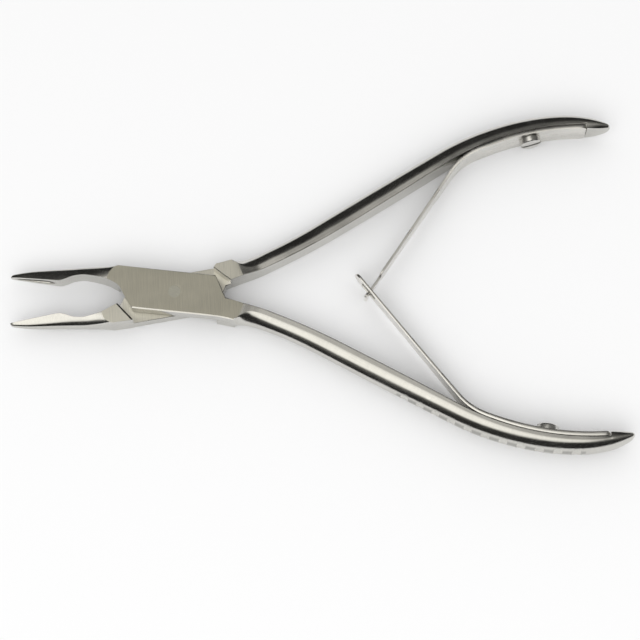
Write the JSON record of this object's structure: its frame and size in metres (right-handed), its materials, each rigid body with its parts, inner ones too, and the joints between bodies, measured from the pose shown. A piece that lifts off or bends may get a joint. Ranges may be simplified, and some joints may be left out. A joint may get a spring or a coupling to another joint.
{
  "type": "spring-handled half-lap pliers with slim scooped jaws",
  "caption": "Slim steel half-lap pliers with tapering scooped jaws and long bowed handles held open by two interlocked leaf springs.",
  "frame": {"origin": "on the pivot axis, in the plane of the joint's back face, which the tool lies on", "axes": "+X from the pivot towards the handle ends, along the line that halves the open tool; +Y towards the front arm's jaw; +Z along the pivot out of the face that carries the front lap"},
  "size_m": [0.1322, 0.0772, 0.0062],
  "materials": {
    "satin_steel": "satin ground, polished on the handles' domed faces",
    "rivet_steel": "satin, ground flush with the joint",
    "spring_steel": "polished spring leaf",
    "screw_steel": "turned"
  },
  "bodies": {
    "front_arm": {"arm_front": "satin_steel", "pivot_rivet": "rivet_steel", "spring_lower_root": "spring_steel", "screw_lower": "screw_steel"},
    "rear_arm": {"arm_rear": "satin_steel", "spring_upper_root": "spring_steel", "screw_upper": "screw_steel"},
    "lower_blade": {"spring_lower_blade": "spring_steel"},
    "upper_blade": {"spring_upper_blade": "spring_steel"}
  },
  "joints": [
    {"name": "arm_hinge", "type": "hinge", "parent": "front_arm", "child": "rear_arm", "pos_m": [0, 0, 0.0028], "axis": [0, 0, -1], "range_deg": [0, 16.3], "stiffness_Nm_per_rad": 2, "springref_deg": -1.72},
    {"name": "lower_leaf_flex", "type": "hinge", "parent": "front_arm", "child": "lower_blade", "pos_m": [0.0601, -0.02541, 0.0031], "axis": [0, 0, 1], "range_deg": [0, 15.2]},
    {"name": "upper_leaf_flex", "type": "hinge", "parent": "rear_arm", "child": "upper_blade", "pos_m": [0.06111, 0.02577, 0.0031], "axis": [0, 0, -1], "range_deg": [0, 13.3]}
  ],
  "couplings": [
    {"joint": "lower_leaf_flex", "follows": "arm_hinge", "ratio": 0.92},
    {"joint": "upper_leaf_flex", "follows": "arm_hinge", "ratio": 0.8}
  ]
}
